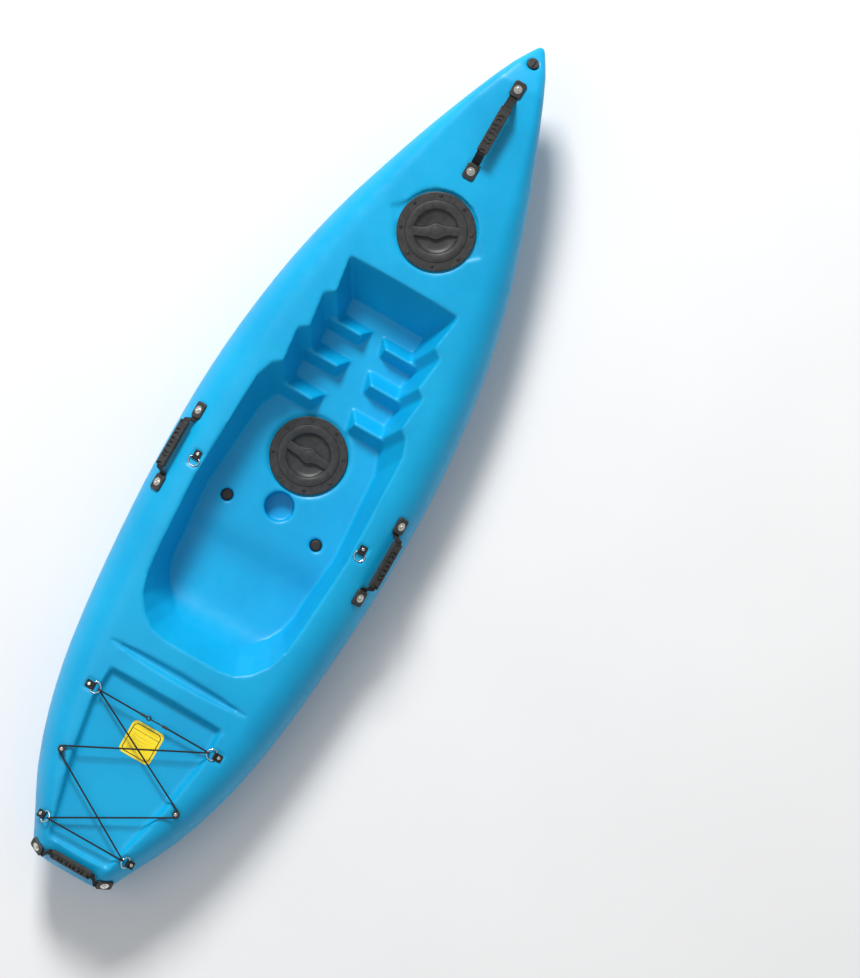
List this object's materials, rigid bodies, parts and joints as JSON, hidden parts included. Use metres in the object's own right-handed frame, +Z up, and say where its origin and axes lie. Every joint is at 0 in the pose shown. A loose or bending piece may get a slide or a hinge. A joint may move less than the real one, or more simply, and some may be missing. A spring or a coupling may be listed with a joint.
{
  "type": "kayak",
  "caption": "Sit-on-top moulded kayak with screw-in hatches, scupper plugs, strap carry handles, tie rings and a laced stern shock cord.",
  "frame": {"origin": "centre of the keel under the middle of the hull length", "axes": "+X towards the bow, +Y to port, +Z up"},
  "size_m": [2.68, 0.7364, 0.3289],
  "materials": {
    "hull_blue": "satin moulded polyethylene",
    "black_plastic": "fine texture",
    "black_rubber": "smooth",
    "steel": "bright",
    "black_steel": "blackened",
    "brass": "plain",
    "webbing": "woven",
    "cord": "braided",
    "label_yellow": "printed vinyl"
  },
  "bodies": {
    "hull": {"bow_handle_caps": "black_plastic", "bow_handle_screws": "steel", "bow_handle_washers": "steel", "bow_hatch_gasket": "black_rubber", "bow_hatch_ring": "black_plastic", "bow_hatch_screws": "black_steel", "cockpit_hatch_gasket": "black_rubber", "cockpit_hatch_ring": "black_plastic", "cockpit_hatch_screws": "black_steel", "deck_label": "label_yellow", "drain_plug_bush": "black_plastic", "hull": "hull_blue", "port_cord_nub": "black_plastic", "port_front_ring_tab": "webbing", "port_handle_caps": "black_plastic", "port_handle_screws": "steel", "port_handle_washers": "steel", "port_rear_ring_tab": "webbing", "port_side_ring_tab": "webbing", "shock_cord": "cord", "shock_cord_eye": "steel", "shock_cord_hook": "steel", "shock_cord_sleeves": "black_plastic", "starboard_cord_nub": "black_plastic", "starboard_front_ring_tab": "webbing", "starboard_handle_caps": "black_plastic", "starboard_handle_screws": "steel", "starboard_handle_washers": "steel", "starboard_rear_ring_tab": "webbing", "starboard_side_ring_tab": "webbing", "stern_handle_caps": "black_plastic", "stern_handle_screws": "steel", "stern_handle_washers": "steel", "tab_screws": "steel", "threaded_inserts": "brass"},
    "bow_hatch_carrier": {"bow_hatch_seal": "black_rubber"},
    "bow_hatch_lid": {"bow_hatch_lid": "black_plastic"},
    "cockpit_hatch_carrier": {"cockpit_hatch_seal": "black_rubber"},
    "cockpit_hatch_lid": {"cockpit_hatch_lid": "black_plastic"},
    "drain_carrier": {"drain_plug_seal": "black_rubber"},
    "drain_plug": {"drain_plug": "black_plastic"},
    "port_scupper_plug": {"port_scupper_plug": "black_rubber"},
    "starboard_scupper_plug": {"starboard_scupper_plug": "black_rubber"},
    "bow_handle": {"bow_handle_strap": "webbing", "bow_handle_grip": "black_plastic"},
    "port_handle": {"port_handle_strap": "webbing", "port_handle_grip": "black_plastic"},
    "starboard_handle": {"starboard_handle_strap": "webbing", "starboard_handle_grip": "black_plastic"},
    "stern_handle": {"stern_handle_strap": "webbing", "stern_handle_grip": "black_plastic"},
    "port_side_ring": {"port_side_ring": "steel"},
    "port_front_ring": {"port_front_ring": "steel"},
    "port_rear_ring": {"port_rear_ring": "steel"},
    "starboard_side_ring": {"starboard_side_ring": "steel"},
    "starboard_front_ring": {"starboard_front_ring": "steel"},
    "starboard_rear_ring": {"starboard_rear_ring": "steel"}
  },
  "joints": [
    {"name": "bow_hatch_lift", "type": "slide", "parent": "hull", "child": "bow_hatch_carrier", "axis": [0, 0, 1], "range_m": [0, 0.12]},
    {"name": "bow_hatch_turn", "type": "hinge", "parent": "bow_hatch_carrier", "child": "bow_hatch_lid", "pos_m": [0.74303, 0, 0.25897], "axis": [0, 0, 1], "range_deg": [0, 270]},
    {"name": "cockpit_hatch_lift", "type": "slide", "parent": "hull", "child": "cockpit_hatch_carrier", "axis": [0, 0, 1], "range_m": [0, 0.12]},
    {"name": "cockpit_hatch_turn", "type": "hinge", "parent": "cockpit_hatch_carrier", "child": "cockpit_hatch_lid", "pos_m": [0.0201, 0, 0.093], "axis": [0, 0, 1], "range_deg": [0, 270]},
    {"name": "drain_plug_lift", "type": "slide", "parent": "hull", "child": "drain_carrier", "axis": [0.4067, 0, 0.9135], "range_m": [0, 0.04]},
    {"name": "drain_plug_turn", "type": "hinge", "parent": "drain_carrier", "child": "drain_plug", "pos_m": [1.28372, 0, 0.2509], "axis": [0.4067, 0, 0.9135], "range_deg": [0, 350]},
    {"name": "port_scupper_lift", "type": "slide", "parent": "hull", "child": "port_scupper_plug", "axis": [0, 0, 1], "range_m": [0, 0.08]},
    {"name": "starboard_scupper_lift", "type": "slide", "parent": "hull", "child": "starboard_scupper_plug", "axis": [0, 0, 1], "range_m": [0, 0.08]},
    {"name": "bow_handle_swing", "type": "hinge", "parent": "hull", "child": "bow_handle", "pos_m": [1.06794, 0, 0.27744], "axis": [0.9995, 0, 0.0329], "range_deg": [-50, 50], "stiffness_Nm_per_rad": 0.4, "deforming": ["bow_handle_strap"]},
    {"name": "port_handle_swing", "type": "hinge", "parent": "hull", "child": "port_handle", "pos_m": [-0.13802, 0.325, 0.21656], "axis": [1, 0, 0], "range_deg": [-35, 35], "stiffness_Nm_per_rad": 0.4, "deforming": ["port_handle_strap"]},
    {"name": "starboard_handle_swing", "type": "hinge", "parent": "hull", "child": "starboard_handle", "pos_m": [-0.13802, -0.325, 0.21656], "axis": [1, 0, 0], "range_deg": [-35, 35], "stiffness_Nm_per_rad": 0.4, "deforming": ["starboard_handle_strap"]},
    {"name": "stern_handle_swing", "type": "hinge", "parent": "hull", "child": "stern_handle", "pos_m": [-1.31012, 0, 0.19784], "axis": [0, -1, 0], "range_deg": [0, 90], "deforming": ["stern_handle_strap"]},
    {"name": "port_side_ring_swing", "type": "hinge", "parent": "hull", "child": "port_side_ring", "pos_m": [-0.14298, 0.26805, 0.24434], "axis": [0, 0.9781, -0.2079], "range_deg": [0, 135]},
    {"name": "port_front_ring_swing", "type": "hinge", "parent": "hull", "child": "port_front_ring", "pos_m": [-0.83884, 0.19662, 0.25249], "axis": [-1, 0, 0], "range_deg": [0, 25], "deforming": ["shock_cord"]},
    {"name": "port_rear_ring_swing", "type": "hinge", "parent": "hull", "child": "port_rear_ring", "pos_m": [-1.22342, 0.13566, 0.23575], "axis": [-1, 0, 0], "range_deg": [0, 25], "deforming": ["shock_cord"]},
    {"name": "starboard_side_ring_swing", "type": "hinge", "parent": "hull", "child": "starboard_side_ring", "pos_m": [-0.14298, -0.26805, 0.24434], "axis": [0, 0.9781, 0.2079], "range_deg": [0, 135]},
    {"name": "starboard_front_ring_swing", "type": "hinge", "parent": "hull", "child": "starboard_front_ring", "pos_m": [-0.83884, -0.19662, 0.25249], "axis": [1, 0, 0], "range_deg": [0, 25], "deforming": ["shock_cord"]},
    {"name": "starboard_rear_ring_swing", "type": "hinge", "parent": "hull", "child": "starboard_rear_ring", "pos_m": [-1.22342, -0.13566, 0.23575], "axis": [1, 0, 0], "range_deg": [0, 25], "deforming": ["shock_cord"]}
  ]
}
